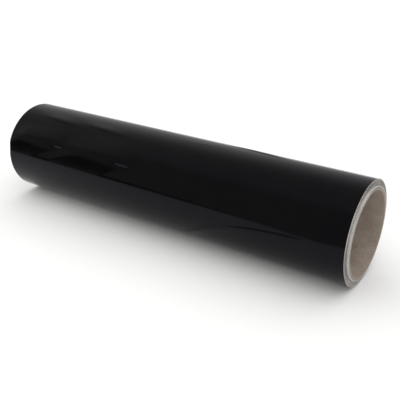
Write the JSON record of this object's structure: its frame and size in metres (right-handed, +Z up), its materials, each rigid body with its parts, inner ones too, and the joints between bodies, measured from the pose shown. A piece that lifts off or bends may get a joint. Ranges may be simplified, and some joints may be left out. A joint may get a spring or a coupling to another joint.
{
  "type": "roll of sign vinyl",
  "caption": "Roll of glossy black self-adhesive sign vinyl on a paper release liner, wound on a paperboard core, with a tail that lifts, peels and is taped down.",
  "frame": {"origin": "centre of the roll's footprint, on the surface that the roll lies on", "axes": "+X along the roll's axis towards the open end that faces the camera in the picture, +Z up, +Y to the back, where the web's tail hangs"},
  "size_m": [0.308, 0.074, 0.0739],
  "materials": {
    "core_lining": "matte",
    "core_paperboard": "matte",
    "start_tape": "satin",
    "liner_paper": "satin",
    "black_film": "gloss",
    "clear_tape": "gloss"
  },
  "bodies": {
    "roll": {"core_ply_1": "core_lining", "core_ply_2": "core_paperboard", "core_ply_3": "core_paperboard", "core_ply_4": "core_paperboard", "core_ply_5": "core_paperboard", "core_ply_6": "core_paperboard", "start_tape": "start_tape", "liner_winding": "liner_paper", "film_winding": "black_film"},
    "tail": {"liner_tail": "liner_paper", "film_tail": "black_film"},
    "flap": {"film_flap": "black_film"},
    "tape": {"closing_tape": "clear_tape"}
  },
  "joints": [
    {"name": "tail_lift", "type": "hinge", "parent": "roll", "child": "tail", "pos_m": [0, 0.02122, 0.0673], "axis": [1, 0, 0], "range_deg": [0, 75], "stiffness_Nm_per_rad": 0.002, "springref_deg": -28.65},
    {"name": "film_peel", "type": "hinge", "parent": "tail", "child": "flap", "pos_m": [0, 0.03581, 0.0465], "axis": [1, 0, 0], "range_deg": [0, 90], "stiffness_Nm_per_rad": 0.001, "springref_deg": -17.19},
    {"name": "tape_peel", "type": "hinge", "parent": "flap", "child": "tape", "pos_m": [0, 0.037, 0.04013], "axis": [1, 0, 0], "range_deg": [0, 90], "stiffness_Nm_per_rad": 0.00002, "springref_deg": -28.65}
  ]
}
